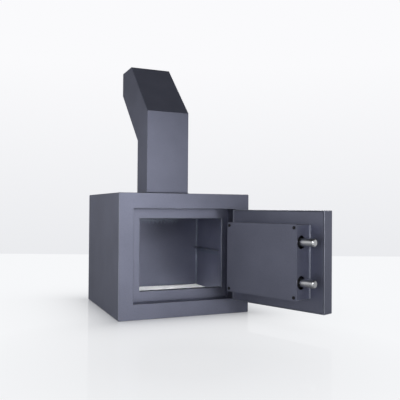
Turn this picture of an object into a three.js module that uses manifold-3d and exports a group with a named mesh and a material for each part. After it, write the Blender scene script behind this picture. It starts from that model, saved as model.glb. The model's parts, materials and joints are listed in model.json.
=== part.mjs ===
// Deposit safe with a gooseneck chute on its roof, its door standing open. Millimetres, +Z up.
// The origin is the centre of the cabinet's underside, and the door side faces -Y.
// Pieces are drawn in cabinet coordinates: X from the left side, Y back from the front face, Z up.
import * as THREE from 'three';
import { mergeVertices } from 'three/addons/utils/BufferGeometryUtils.js';
import Module from 'manifold-3d';

const wasm = await Module();
wasm.setup();

// Clearances
const seatGap = 0.3;
const runningGap = 0.3;

// How far a cutting tool passes the face it cuts, and how deep one joined form enters another
const overcut = 1;
const joinDepth = 1;
const mergeDistance = 1e-4;

// Cabinet
const bodyWidth = 385;
const bodyDepth = 380;
const bodyHeight = 340;
const wrapSheet = 4;
const wrapBend = 3;
const backSheet = 4;
const frontSheet = 4;
const returnSheet = 3;
const borderSide = 41;
const borderEnds = 42;
const jambSheet = 3;
const jambStep = 28;
const jambFlange = 20;
const hingeGutter = 13;

// Door leaf and its place in the recess
const openAngle = 111.35;
const leafThickness = 34;
const leafPlate = 5;
const leafEdgeSheet = 3;
const leafBackSheet = 3;
const leafGapFree = 3.5;
const leafGapHinge = 2;
const leafGapEnds = 2;
const leafToJamb = 3;

// Barrel hinges on the front face
const hingeOut = 9;
const barrelRadius = 9.2;
const pinRadius = 5;
const knuckleLength = 29;
const hingeWasher = 1.4;
const hingeInset = 63;
const strapSheet = 3;
const strapReach = 36;
const baseReach = 26;
const pinHeadRadius = 8;
const pinHeadHeight = 3;

// Lock case on the inside of the leaf
const caseDepth = 55;
const caseSheet = 2;
const caseBend = 2;
const caseGapFree = 17;
const caseGapHinge = 4;
const caseGapEnds = 8;
const caseFoot = 3;
const postRadius = 5;
const postInset = 8;
const screwRadius = 2;
const screwHeadRadius = 4;
const screwHeadHeight = 1.8;
const screwLength = 14;
const screwSlotWidth = 1.2;
const screwSlotDepth = 0.9;

// Locking bolts
const boltRadius = 10;
const boltLength = 100;
const boltReach = 39.5;
const boltInset = 43;
const boltStandoff = 36;
const boltChamfer = 2.2;
const boltHoleRadius = 16.5;
const boltTravel = 38;
const boltFlat = 2;
const boltFlatLength = 22;

// Guide bracket that carries both bolts
const guideInset = 6;
const guideLength = 29;
const guideSheet = 3;
const guideEnds = 21;
const guideHeight = 50;

// Bolt bar with its drive tongue
const barSheet = 4;
const barOverhang = 4;
const barTopMargin = 14;
const barBottomMargin = 7;
const tongueMargin = 7.6;
const tongueTail = 14;
const tailScrewRadius = 3;
const tailScrewHead = 5;
const tailScrewHeadHeight = 3.5;
const tailScrewInset = 10;

// Knob, spindle and crank
const spindlePast = 51.5;
const spindleRadius = 6;
const spindleOverrun = 21;
const crankHalfAngle = 40;
const crankPinRadius = 4;
const crankPinPlay = 1;
const crankThickness = 6;
const crankStandoff = 13;
const crankRim = 6.5;
const crankWebHalf = 6;
const crankPinProud = 1;
const clipRadius = 9;
const clipThickness = 1.4;
const clipMouth = 8;
const roseRadius = 26;
const roseThickness = 3;
const knobRadius = 21;
const knobBase = 7;
const knobGripWidth = 11;
const knobGripHeight = 17;
const knobGripInset = 1;
const bushRadius = 9;

// Key lock below the tongue
const lockWidth = 60;
const lockHeight = 26;
const lockDepth = 32;
const lockDrop = 4;
const lockBoltWidth = 12;
const lockBoltThickness = 4.6;
const lockBoltTravel = 9;
const lockBoltProud = 3.5;
const lockTailWidth = 20;
const lockTailHeight = 10;
const lockPinRadius = 1.5;
const lockPinPlay = 1.1;
const notchPlay = 0.5;
const keyHubRadius = 6;
const keyAxisRise = 13;
const keySlotWidth = 3.5;
const keySlotHeight = 9;
const keySlotDepth = 16;
const escutcheonWidth = 26;
const escutcheonHeight = 46;
const escutcheonThickness = 2.5;
const escutcheonFlat = 1;
const keyholeWidth = 4.6;
const keyholeHeight = 11;

// Gooseneck chute
const chuteWidth = 131;
const chuteDepth = 101;
const chuteOffset = -4;
const chuteFront = 148;
const chuteSheet = 3;
const chuteTopZ = 761;
const chuteFoldZ = 590;
const chuteMouthY = 432;
const mouthHeight = 77;
const neckAngle = THREE.MathUtils.degToRad(43.5);
const flangeSheet = 3;
const flangeMargin = 18;
const studRadius = 3;
const studOut = 5.5;
const studLength = 14;
const nutFlats = 10;
const nutSides = 6;
const nutHeight = 5;

// Chute tail and comb under the roof
const tailSheet = 2;
const tailMargin = 16;
const tailFrontDrop = 64;
const tailBackDrop = 74;
const combSheet = 2;
const combTopDrop = 46;
const combRootDrop = 75;
const toothHeight = 13;
const toothPitch = 13;
const rivetRadius = 2;
const rivetHeadRadius = 4;
const rivetHeadHeight = 1.5;
const rivetSpacing = 52;
const rivetDrop = 58;

// Inside fittings
const ledgeZ = 164;
const ledgeLeg = 15;
const ledgeSheet = 2;
const ledgeFront = 176;
const trayHeight = 26;
const traySheet = 2;
const traySideGap = 0.7;
const linerThickness = 3;
const linerMargin = 4;
const plugRadius = 7;
const plugHeadRadius = 10;
const plugHeadHeight = 2.5;
const plugLift = 0.6;
const plugInset = 70;

// Number of sides on round faces
const roundSides = 32;
const smallSides = 20;
const cornerSteps = 4;
const plateSteps = 8;

// Places worked out from the sizes above
const recessLeft = borderSide;
const recessRight = bodyWidth - borderSide;
const recessBottom = borderEnds;
const recessTop = bodyHeight - borderEnds;
const openLeft = recessLeft + jambStep;
const openRight = recessRight - jambStep;
const openBottom = recessBottom + jambStep;
const openTop = recessTop - jambStep;
const jambFace = leafThickness + leafToJamb;
const jambBack = jambFace + jambSheet;
const jambRight = recessRight - hingeGutter;
const doorMidZ = bodyHeight / 2;
const hingeX = recessRight + hingeOut;
const hingeY = -(barrelRadius + seatGap);
const leafLeft = recessLeft + leafGapFree;
const leafRight = recessRight - leafGapHinge;
const leafBottom = recessBottom + leafGapEnds;
const leafTop = recessTop - leafGapEnds;
const hingeZs = { lower: leafBottom + hingeInset, upper: leafTop - hingeInset };
const caseLeft = openLeft + caseGapFree;
const caseRight = openRight - caseGapHinge;
const caseBottom = openBottom + caseGapEnds;
const caseTop = openTop - caseGapEnds;
const caseRoot = leafThickness + seatGap;
const caseFace = leafThickness + caseDepth;
const boltY = leafThickness + boltStandoff;
const boltZs = { lower: caseBottom + boltInset, upper: caseTop - boltInset };
const boltTip = caseLeft - boltReach;
const boltTail = boltTip + boltLength;
const boltSeatY = boltY - boltRadius + boltFlat;
const barTop = boltSeatY - seatGap;
const barBottom = barTop - barSheet;
const spindleX = boltTail + spindlePast;
const crankRadius = boltTravel / 2 / Math.sin(THREE.MathUtils.degToRad(crankHalfAngle));
const crankRise = crankRadius * Math.cos(THREE.MathUtils.degToRad(crankHalfAngle));
const crankNear = leafThickness + crankStandoff;
const crankFar = crankNear + crankThickness;
const tongueBottom = boltZs.lower - barBottomMargin;
const tongueTop = doorMidZ - crankRise + crankPinRadius + crankPinPlay + tongueMargin;
const lockTop = tongueBottom - lockDrop;
const lockBottom = lockTop - lockHeight;
const keyZ = lockBottom + keyAxisRise;
const lockPinOrbit = lockBoltTravel / 2;
const lockBoltFar = barTop;
const lockBoltNear = lockBoltFar - lockBoltThickness;
const lockBoltHeadZ = lockTop + lockBoltProud;
const lockTailMid = keyZ - lockPinOrbit;
const chuteLeft = bodyWidth / 2 + chuteOffset - chuteWidth / 2;
const chuteRight = chuteLeft + chuteWidth;
const chuteBack = chuteFront + chuteDepth;
const mouthLowZ = chuteTopZ - mouthHeight;
const roofUnder = bodyHeight - wrapSheet;
const flangeZ = bodyHeight + seatGap;
const ductZ = flangeZ + flangeSheet + seatGap;
const tailTop = roofUnder - seatGap;
const tailBottom = roofUnder - tailBackDrop;
const combTopZ = roofUnder - combTopDrop;
const combRootZ = roofUnder - combRootDrop;
const rivetZ = roofUnder - rivetDrop;
const interiorBack = bodyDepth - backSheet - seatGap;
const floorZ = wrapSheet + seatGap;

const colours = {
  paint: 0x4b4f5a,
  inside: 0x474b54,
  steel: 0xb9bcc2,
  zinc: 0x9a9c9c,
  oxide: 0x25262a,
  black: 0x1d1f22,
  liner: 0xe4e5e6,
};

function finish(colour, roughness, metalness) {
  return new THREE.MeshStandardMaterial({ color: colour, roughness, metalness });
}

const paint = () => finish(colours.paint, 0.45, 0.35);
const insidePaint = () => finish(colours.inside, 0.55, 0.3);
const brightSteel = () => finish(colours.steel, 0.25, 1);
const zincPlate = () => finish(colours.zinc, 0.4, 0.9);
const blackOxide = () => finish(colours.oxide, 0.45, 0.8);
const blackPlastic = () => finish(colours.black, 0.5, 0);
const palePlastic = () => finish(colours.liner, 0.7, 0);

// Closed geometries become solids for cutting and joining, and come back as geometries
function toSolid(geometry) {
  const bare = geometry.clone();
  bare.deleteAttribute('normal');
  bare.deleteAttribute('uv');
  const merged = mergeVertices(bare, mergeDistance);
  const vertProperties = new Float32Array(merged.attributes.position.array);
  const triVerts = new Uint32Array(merged.index.array);
  return new wasm.Manifold(new wasm.Mesh({ numProp: 3, vertProperties, triVerts }));
}

function toGeometry(solid) {
  const mesh = solid.getMesh();
  const geometry = new THREE.BufferGeometry();
  geometry.setAttribute('position', new THREE.BufferAttribute(new Float32Array(mesh.vertProperties), 3));
  geometry.setIndex(new THREE.BufferAttribute(new Uint32Array(mesh.triVerts), 1));
  geometry.computeVertexNormals();
  return geometry;
}

function join(...geometries) {
  return toGeometry(geometries.map(toSolid).reduce((sum, solid) => sum.add(solid)));
}

function cut(geometry, ...tools) {
  return toGeometry(tools.map(toSolid).reduce((rest, tool) => rest.subtract(tool), toSolid(geometry)));
}

// Basic forms, each given by its real limits
function block([x0, x1], [y0, y1], [z0, z1]) {
  const geometry = new THREE.BoxGeometry(x1 - x0, y1 - y0, z1 - z0);
  return geometry.translate((x0 + x1) / 2, (y0 + y1) / 2, (z0 + z1) / 2);
}

function rod(axis, radius, [from, to], [a, b], sides = roundSides) {
  const geometry = new THREE.CylinderGeometry(radius, radius, to - from, sides);
  const middle = (from + to) / 2;
  if (axis === 'x') return geometry.rotateZ(-Math.PI / 2).translate(middle, a, b);
  if (axis === 'y') return geometry.translate(a, middle, b);
  return geometry.rotateX(Math.PI / 2).translate(a, b, middle);
}

function rectangle([u0, u1], [v0, v1], radius = 0) {
  if (radius === 0) return outline([[u0, v0], [u1, v0], [u1, v1], [u0, v1]]);
  const shape = new THREE.Shape();
  shape.moveTo(u0 + radius, v0);
  shape.lineTo(u1 - radius, v0);
  shape.absarc(u1 - radius, v0 + radius, radius, -Math.PI / 2, 0);
  shape.lineTo(u1, v1 - radius);
  shape.absarc(u1 - radius, v1 - radius, radius, 0, Math.PI / 2);
  shape.lineTo(u0 + radius, v1);
  shape.absarc(u0 + radius, v1 - radius, radius, Math.PI / 2, Math.PI);
  shape.lineTo(u0, v0 + radius);
  shape.absarc(u0 + radius, v0 + radius, radius, Math.PI, Math.PI * 1.5);
  return shape;
}

function outline(points) {
  return new THREE.Shape(points.map(([u, v]) => new THREE.Vector2(u, v)));
}

// A shape drawn in X-Z is drawn out along Y, one in Y-Z along X, and one in X-Y along Z
function extrude(plane, shape, [from, to], curveSegments = cornerSteps) {
  const geometry = new THREE.ExtrudeGeometry(shape, { depth: to - from, bevelEnabled: false, curveSegments });
  if (plane === 'xz') return geometry.rotateX(Math.PI / 2).translate(0, to, 0);
  if (plane === 'yz') return geometry.rotateX(Math.PI / 2).rotateZ(Math.PI / 2).translate(from, 0, 0);
  return geometry.translate(0, 0, from);
}

function ring(outer, inner) {
  outer.holes.push(inner);
  return outer;
}

function grown([low, high], margin) {
  return [low - margin, high + margin];
}

const safe = new THREE.Group();
safe.position.set(-bodyWidth / 2, -bodyDepth / 2, 0);

function add(parent, name, geometry, material, place = [0, 0, 0]) {
  const mesh = new THREE.Mesh(geometry, material);
  mesh.name = name;
  mesh.position.set(...place);
  parent.add(mesh);
  return mesh;
}

const chuteX = [chuteLeft, chuteRight];
const chuteY = [chuteFront, chuteBack];
const studPlaces = [];
for (const y of grown(chuteY, studOut)) {
  for (const x of grown(chuteX, studOut)) studPlaces.push([x, y]);
}
const plugPlaces = [plugInset, bodyWidth - plugInset].map((x) => [x, bodyDepth / 2]);

// Cabinet: one bent wrap, a back plate set in it and a folded front with the door recess
function makeWrap() {
  const hollow = rectangle([wrapSheet, bodyWidth - wrapSheet], [wrapSheet, roofUnder]);
  const section = ring(rectangle([0, bodyWidth], [0, bodyHeight], wrapBend), hollow);
  const tube = extrude('xz', section, [frontSheet + seatGap, bodyDepth]);
  const roof = grown([roofUnder, bodyHeight], overcut);
  const floor = grown([0, wrapSheet], overcut);
  const cutOut = block(grown(chuteX, -chuteSheet), grown(chuteY, -chuteSheet), roof);
  const studHoles = studPlaces.map((at) => rod('z', studRadius + runningGap, roof, at, smallSides));
  const plugHoles = plugPlaces.map((at) => rod('z', plugRadius + seatGap, floor, at, smallSides));
  return cut(tube, cutOut, ...studHoles, ...plugHoles);
}

function makeBackPlate() {
  const inset = wrapSheet + seatGap;
  return block([inset, bodyWidth - inset], [bodyDepth - backSheet, bodyDepth], [inset, bodyHeight - inset]);
}

function makeFrontFrame() {
  const x = [recessLeft, recessRight];
  const z = [recessBottom, recessTop];
  const face = ring(rectangle([0, bodyWidth], [0, bodyHeight], wrapBend), rectangle(x, z));
  const walls = ring(rectangle(grown(x, returnSheet), grown(z, returnSheet)), rectangle(x, z));
  return join(extrude('xz', face, [0, frontSheet]), extrude('xz', walls, [0, jambFace - seatGap]));
}

// The jamb stops short of the hinge side's return. It is folded back and out there, which makes a gutter
function makeJamb() {
  const x = [openLeft, openRight];
  const z = [openBottom, openTop];
  const faceZ = grown([recessBottom, recessTop], returnSheet);
  const foldY = [jambFace, jambFace + jambFlange];
  const plate = ring(rectangle([recessLeft - returnSheet, jambRight], faceZ), rectangle(x, z));
  const flange = ring(rectangle(grown(x, jambSheet), grown(z, jambSheet)), rectangle(x, z));
  const wallLeft = jambRight - jambSheet;
  const gutterWall = block([wallLeft, jambRight], foldY, faceZ);
  const gutterBack = block([wallLeft, recessRight + returnSheet], [foldY[1] - jambSheet, foldY[1]], faceZ);
  const folds = [extrude('xz', flange, foldY), gutterWall, gutterBack];
  return join(extrude('xz', plate, [jambFace, jambBack]), ...folds);
}

add(safe, 'body_wrap', makeWrap(), paint());
add(safe, 'back_plate', makeBackPlate(), paint());
add(safe, 'front_frame', makeFrontFrame(), paint());
add(safe, 'door_jamb', makeJamb(), paint());

// Raised floor tray, its pale liner, the shelf ledges and the plugs of the floor holes
function makeTray() {
  const x = [wrapSheet + traySideGap, bodyWidth - wrapSheet - traySideGap];
  const y = [jambBack + seatGap, interiorBack];
  const top = floorZ + trayHeight;
  const under = block(grown(x, -traySheet), grown(y, -traySheet), [floorZ - overcut, top - traySheet]);
  return cut(block(x, y, [floorZ, top]), under);
}

function makeLiner() {
  const bottom = floorZ + trayHeight + seatGap;
  const x = grown([wrapSheet, bodyWidth - wrapSheet], -linerMargin);
  return block(x, grown([jambBack, bodyDepth - backSheet], -linerMargin), [bottom, bottom + linerThickness]);
}

function makeLedge() {
  const wall = [[0, 0], [0, -ledgeLeg], [ledgeSheet, -ledgeLeg]];
  const shelf = [[ledgeSheet, -ledgeSheet], [ledgeLeg, -ledgeSheet], [ledgeLeg, 0]];
  return extrude('xz', outline([...wall, ...shelf]), [ledgeFront, interiorBack]);
}

add(safe, 'floor_tray', makeTray(), insidePaint());
add(safe, 'floor_liner', makeLiner(), palePlastic());
add(safe, 'shelf_ledge_left', makeLedge(), insidePaint(), [wrapSheet + seatGap, 0, ledgeZ]);
const rightLedge = add(safe, 'shelf_ledge_right', makeLedge(), insidePaint());
rightLedge.position.set(bodyWidth - wrapSheet - seatGap, ledgeFront + interiorBack, ledgeZ);
rightLedge.rotation.z = Math.PI;

plugPlaces.forEach(([x, y], index) => {
  const shank = rod('z', plugRadius, [plugLift, floorZ + plugHeadHeight], [0, 0], smallSides);
  const head = rod('z', plugHeadRadius, [floorZ, floorZ + plugHeadHeight], [0, 0], smallSides);
  add(safe, `anchor_plug_${index + 1}`, join(shank, head), blackPlastic(), [x, y, 0]);
});

// Corner points of the duct's side profile, moved in from its outer faces by an inset
function ductProfile(inset) {
  const slope = Math.tan(neckAngle);
  const lift = inset / Math.cos(neckAngle);
  const frontY = chuteFront + inset;
  const backY = chuteBack - inset;
  const topZ = chuteTopZ - inset;
  const frontLine = (y) => chuteFoldZ + (y - chuteFront) * slope - lift;
  const backLine = (y) => mouthLowZ + (y - chuteMouthY) * slope + lift;
  return {
    frontFoot: [frontY, ductZ],
    frontFold: [frontY, frontLine(frontY)],
    topFold: [chuteFront + (topZ - chuteFoldZ + lift) / slope, topZ],
    mouthTop: [chuteMouthY, topZ],
    mouthLow: [chuteMouthY, backLine(chuteMouthY)],
    backFold: [backY, backLine(backY)],
    backFoot: [backY, ductZ],
  };
}

// The duct is two folded sheets, front and back, with a flat side plate between them on each side
const outerDuct = ductProfile(0);
const innerDuct = ductProfile(chuteSheet);
const sideDuct = ductProfile(chuteSheet + seatGap);
const frontEdges = ['frontFoot', 'frontFold', 'topFold', 'mouthTop'];
const backEdges = ['mouthLow', 'backFold', 'backFoot'];

function foldedSheet(edges) {
  const outside = edges.map((edge) => outerDuct[edge]);
  const inside = edges.map((edge) => innerDuct[edge]).reverse();
  return extrude('yz', outline([...outside, ...inside]), chuteX);
}

function makeDuctSide(x) {
  return extrude('yz', outline([...frontEdges, ...backEdges].map((edge) => sideDuct[edge])), x);
}

function makeFlange() {
  const hole = rectangle(grown(chuteX, -chuteSheet), grown(chuteY, -chuteSheet));
  const plate = ring(rectangle(grown(chuteX, flangeMargin), grown(chuteY, flangeMargin), wrapBend), hole);
  const studZ = [flangeZ - studLength, flangeZ + joinDepth];
  const studs = studPlaces.map((at) => rod('z', studRadius, studZ, at, smallSides));
  return join(extrude('xy', plate, [flangeZ, flangeZ + flangeSheet]), ...studs);
}

add(safe, 'chute_flange', makeFlange(), paint());
add(safe, 'chute_front_sheet', foldedSheet(frontEdges), paint());
add(safe, 'chute_back_sheet', foldedSheet(backEdges), paint());
add(safe, 'chute_side_left', makeDuctSide([chuteLeft, chuteLeft + chuteSheet]), paint());
add(safe, 'chute_side_right', makeDuctSide([chuteRight - chuteSheet, chuteRight]), paint());

// Tail under the roof, cut off at a slant, with the toothed comb on its back wall
const tailX = grown(chuteX, tailMargin);
const tailY = grown(chuteY, tailMargin);
const combY = tailY[1] - tailSheet - seatGap - combSheet;
const rivetXs = [-1, 0, 1].map((step) => (chuteLeft + chuteRight) / 2 + step * rivetSpacing);

function rivetHoles() {
  const through = grown([combY, tailY[1]], overcut);
  return rivetXs.map((x) => rod('y', rivetRadius + seatGap, through, [x, rivetZ], smallSides));
}

function makeTail() {
  const lidZ = [tailTop - tailSheet, tailTop];
  const throat = rectangle(grown(chuteX, -chuteSheet), grown(chuteY, -chuteSheet));
  const lid = extrude('xy', ring(rectangle(tailX, tailY), throat), lidZ);
  const bore = rectangle(grown(tailX, -tailSheet), grown(tailY, -tailSheet));
  const walls = extrude('xy', ring(rectangle(tailX, tailY), bore), [tailBottom, tailTop]);
  const [frontY, backY] = grown(tailY, overcut);
  const below = [[frontY, tailBottom - overcut], [backY, tailBottom - overcut]];
  const slanted = [[backY, tailBottom], [frontY, roofUnder - tailFrontDrop]];
  const slant = extrude('yz', outline([...below, ...slanted]), grown(tailX, overcut));
  const studHoles = studPlaces.map((at) => {
    return rod('z', studRadius + runningGap, grown(lidZ, overcut), at, smallSides);
  });
  return cut(join(lid, walls), slant, ...studHoles, ...rivetHoles());
}

function makeComb() {
  const [left, right] = grown(tailX, -(tailSheet + seatGap));
  const teeth = Math.floor((right - left) / toothPitch);
  const start = (left + right - teeth * toothPitch) / 2;
  const edge = [[left, combTopZ], [left, combRootZ]];
  for (let tooth = 0; tooth < teeth; tooth += 1) {
    edge.push([start + tooth * toothPitch, combRootZ]);
    edge.push([start + tooth * toothPitch + toothPitch / 2, combRootZ - toothHeight]);
  }
  edge.push([start + teeth * toothPitch, combRootZ], [right, combRootZ], [right, combTopZ]);
  return cut(extrude('xz', outline(edge), [combY, combY + combSheet]), ...rivetHoles());
}

function makeRivet() {
  const front = combY - seatGap;
  const back = tailY[1] + seatGap;
  const shank = rod('y', rivetRadius, [front - rivetHeadHeight, back + rivetHeadHeight], [0, 0], smallSides);
  const heads = [[front - rivetHeadHeight, front], [back, back + rivetHeadHeight]];
  return join(shank, ...heads.map((y) => rod('y', rivetHeadRadius, y, [0, 0], smallSides)));
}

function makeNut() {
  const z = grown([0, 0], nutHeight / 2);
  const nut = rod('z', nutFlats / Math.sqrt(3), z, [0, 0], nutSides);
  return cut(nut, rod('z', studRadius + runningGap, grown(z, overcut), [0, 0], smallSides));
}

add(safe, 'chute_tail', makeTail(), insidePaint());
add(safe, 'anti_fishing_comb', makeComb(), insidePaint());
rivetXs.forEach((x, index) => add(safe, `comb_rivet_${index + 1}`, makeRivet(), zincPlate(), [x, 0, rivetZ]));
const nutZ = tailTop - tailSheet - seatGap - nutHeight / 2;
studPlaces.forEach(([x, y], index) => {
  add(safe, `chute_nut_${index + 1}`, makeNut(), zincPlate(), [x, y, nutZ]);
});

// Barrel hinges: the fixed half below on the front face, the door's half above on the leaf
const halfWasher = hingeWasher / 2 + seatGap;

function makeKnuckle(reach, z) {
  const barrel = rod('z', barrelRadius, z, [0, 0]);
  const near = barrelRadius - strapSheet;
  const wing = block([Math.min(reach, 0), Math.max(reach, 0)], [near, barrelRadius], z);
  return cut(join(barrel, wing), rod('z', pinRadius + runningGap, grown(z, overcut), [0, 0]));
}

function makeHingePin() {
  const top = halfWasher + knuckleLength + seatGap;
  const shank = rod('z', pinRadius, [-(halfWasher + knuckleLength), top + joinDepth], [0, 0]);
  return join(shank, rod('z', pinHeadRadius, [top, top + pinHeadHeight], [0, 0]));
}

function makeHingeWasher() {
  const z = [-hingeWasher / 2, hingeWasher / 2];
  return cut(rod('z', barrelRadius, z, [0, 0]), rod('z', pinRadius + runningGap, grown(z, overcut), [0, 0]));
}

for (const [end, z] of Object.entries(hingeZs)) {
  const axis = [hingeX, hingeY, z];
  const fixedZ = [-(halfWasher + knuckleLength), -halfWasher];
  add(safe, `hinge_base_${end}`, makeKnuckle(baseReach, fixedZ), paint(), axis);
  add(safe, `hinge_pin_${end}`, makeHingePin(), brightSteel(), axis);
  add(safe, `hinge_washer_${end}`, makeHingeWasher(), brightSteel(), axis);
}

// The door turns about the barrels. Inside it, pieces are drawn as they lie when it is shut
const door = new THREE.Group();
door.position.set(hingeX, hingeY, 0);
door.rotation.z = THREE.MathUtils.degToRad(openAngle);
safe.add(door);
const shut = new THREE.Group();
shut.position.set(-hingeX, -hingeY, 0);
door.add(shut);

const spindleAt = [spindleX, doorMidZ];
const keyAt = [spindleX, keyZ];

function makeLeaf() {
  const x = [leafLeft, leafRight];
  const z = [leafBottom, leafTop];
  const depth = [leafPlate, leafThickness + overcut];
  const hollow = block(grown(x, -leafEdgeSheet), depth, grown(z, -leafEdgeSheet));
  const through = grown([0, leafPlate], overcut);
  const spindleHole = rod('y', spindleRadius + runningGap, through, spindleAt, smallSides);
  const keyHole = rod('y', keyHubRadius + runningGap, through, keyAt, smallSides);
  return cut(block(x, [0, leafThickness], z), hollow, spindleHole, keyHole);
}

function makeLeafBack() {
  const inset = leafEdgeSheet + seatGap;
  const y = [leafThickness - leafBackSheet, leafThickness];
  const plate = block(grown([leafLeft, leafRight], -inset), y, grown([leafBottom, leafTop], -inset));
  const spindleHole = rod('y', spindleRadius + runningGap, grown(y, overcut), spindleAt, smallSides);
  const keyHole = rod('y', keyHubRadius + runningGap, grown(y, overcut), keyAt, smallSides);
  return cut(plate, spindleHole, keyHole);
}

function makeBush(radius, y) {
  const bore = rod('y', spindleRadius + runningGap, grown(y, overcut), spindleAt);
  return cut(rod('y', radius, y, spindleAt), bore);
}

add(shut, 'door_leaf', makeLeaf(), paint());
add(shut, 'leaf_back_plate', makeLeafBack(), paint());
const bushY = grown([leafPlate, leafThickness - leafBackSheet], -seatGap);
add(shut, 'spindle_bush', makeBush(bushRadius, bushY), zincPlate());
for (const [end, z] of Object.entries(hingeZs)) {
  const strapZ = [halfWasher, halfWasher + knuckleLength];
  add(shut, `hinge_strap_${end}`, makeKnuckle(-strapReach, strapZ), paint(), [hingeX, hingeY, z]);
}

// Lock case: a folded pan over the boltwork with a foot on its free side, screwed to four posts
const postPlaces = [];
for (const z of grown([caseBottom, caseTop], -postInset)) {
  for (const x of grown([caseLeft, caseRight], -postInset)) postPlaces.push([x, z]);
}

function makeLockCover() {
  const x = [caseLeft, caseRight];
  const z = [caseBottom, caseTop];
  const footY = [caseRoot, caseRoot + caseSheet];
  const foot = block([caseLeft - caseFoot, caseLeft + caseSheet], footY, grown(z, -caseBend));
  const pan = join(extrude('xz', rectangle(x, z, caseBend), [caseRoot, caseFace]), foot);
  const inside = [caseRoot - overcut, caseFace - caseSheet];
  const hollow = block(grown(x, -caseSheet), inside, grown(z, -caseSheet));
  const wall = grown([caseLeft, caseLeft + caseSheet], overcut);
  const boltHoles = Object.values(boltZs).map((boltZ) => rod('x', boltHoleRadius, wall, [boltY, boltZ]));
  const face = grown([caseFace - caseSheet, caseFace], overcut);
  const screwHoles = postPlaces.map((at) => rod('y', screwRadius + runningGap, face, at, smallSides));
  return cut(pan, hollow, ...boltHoles, ...screwHoles);
}

function makePost() {
  const y = [caseRoot, caseFace - caseSheet - seatGap];
  const thread = [y[1] - screwLength, y[1] + overcut];
  const hole = rod('y', screwRadius + runningGap, thread, [0, 0], smallSides);
  return cut(rod('y', postRadius, y, [0, 0], smallSides), hole);
}

function makeScrew() {
  const under = caseFace + seatGap;
  const top = under + screwHeadHeight;
  const shank = rod('y', screwRadius, [under - screwLength, under + screwHeadHeight / 2], [0, 0], smallSides);
  const head = rod('y', screwHeadRadius, [under, top], [0, 0], smallSides);
  const slotY = [top - screwSlotDepth, top + overcut];
  const slot = block(grown([0, 0], postRadius), slotY, grown([0, 0], screwSlotWidth / 2));
  return cut(join(shank, head), slot);
}

add(shut, 'lock_cover', makeLockCover(), paint());
postPlaces.forEach(([x, z], index) => {
  add(shut, `cover_post_${index + 1}`, makePost(), zincPlate(), [x, 0, z]);
  add(shut, `cover_screw_${index + 1}`, makeScrew(), blackOxide(), [x, 0, z]);
});

// Guide bracket: a channel on the leaf whose two flanges carry both bolts
function makeGuide() {
  const x = [caseLeft + guideInset, caseLeft + guideInset + guideLength];
  const z = grown([boltZs.lower, boltZs.upper], guideEnds);
  const y = [caseRoot, caseRoot + guideHeight];
  const channel = block(grown(x, -guideSheet), [caseRoot + guideSheet, y[1] + overcut], grown(z, overcut));
  const holes = Object.values(boltZs).map((boltZ) => {
    return rod('x', boltRadius + runningGap, grown(x, overcut), [boltY, boltZ]);
  });
  return cut(block(x, y, z), channel, ...holes);
}

add(shut, 'bolt_guide', makeGuide(), blackOxide());

// Boltwork, thrown: two round bolts on a bar whose tongue has the crank's slot and two notches
const boltwork = new THREE.Group();
shut.add(boltwork);

function makeBolt() {
  const nose = [[0, 0], [boltRadius - boltChamfer, 0], [boltRadius, boltChamfer]];
  const profile = [...nose, [boltRadius, boltLength], [0, boltLength]];
  const turned = new THREE.LatheGeometry(profile.map(([r, y]) => new THREE.Vector2(r, y)), roundSides);
  turned.rotateZ(-Math.PI / 2);
  const across = grown([0, 0], boltRadius + overcut);
  const flat = [across[0], -boltRadius + boltFlat];
  const seat = block([boltLength - boltFlatLength, boltLength + overcut], flat, across);
  const screwAt = [boltLength - tailScrewInset, 0];
  return cut(turned, seat, rod('y', tailScrewRadius + runningGap, across, screwAt, smallSides));
}

function makeBar() {
  const left = boltTail - boltFlatLength + seatGap;
  const stripRight = boltTail + barOverhang;
  const tongueRight = spindleX + tongueTail;
  const top = boltZs.upper + barTopMargin;
  const tongue = [[left, tongueBottom], [tongueRight, tongueBottom], [tongueRight, tongueTop]];
  const strip = [[stripRight, tongueTop], [stripRight, top], [left, top]];
  const y = [barBottom, barTop];
  const through = grown(y, overcut);
  const tools = Object.values(boltZs).map((z) => {
    return rod('y', tailScrewRadius + runningGap, through, [boltTail - tailScrewInset, z], smallSides);
  });
  const slotX = spindleX - boltTravel / 2;
  const pinRoom = crankPinRadius + crankPinPlay;
  const slotZ = grown([doorMidZ - crankRadius, doorMidZ - crankRise], pinRoom);
  tools.push(block(grown([slotX, slotX], pinRoom), through, slotZ));
  for (const x of [spindleX, spindleX - boltTravel]) {
    const notchX = grown([x, x], lockBoltWidth / 2 + notchPlay);
    const notchTop = lockBoltHeadZ + lockBoltTravel + notchPlay;
    tools.push(block(notchX, through, [tongueBottom - overcut, notchTop]));
  }
  return cut(extrude('xz', outline([...tongue, ...strip]), y), ...tools);
}

function makeTailScrew() {
  const under = boltRadius + seatGap;
  const tip = -(boltRadius - boltFlat + seatGap + barSheet);
  const shank = rod('y', tailScrewRadius, [tip, under + joinDepth], [0, 0], smallSides);
  return join(shank, rod('y', tailScrewHead, [under, under + tailScrewHeadHeight], [0, 0], smallSides));
}

for (const [end, z] of Object.entries(boltZs)) {
  add(boltwork, `locking_bolt_${end}`, makeBolt(), brightSteel(), [boltTip, boltY, z]);
  add(boltwork, `bolt_screw_${end}`, makeTailScrew(), zincPlate(), [boltTail - tailScrewInset, boltY, z]);
}
add(boltwork, 'bolt_bar', makeBar(), zincPlate());

// Knob, spindle and crank turn together
const turning = new THREE.Group();
turning.position.set(spindleX, 0, doorMidZ);
shut.add(turning);
const roseFace = -(seatGap + roseThickness);
const knobNear = roseFace - seatGap;
const knobFar = knobNear - knobBase - knobGripHeight;
const knobMid = knobNear - knobBase - knobGripHeight / 2;
const spindleEnd = leafThickness + spindleOverrun;

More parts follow.
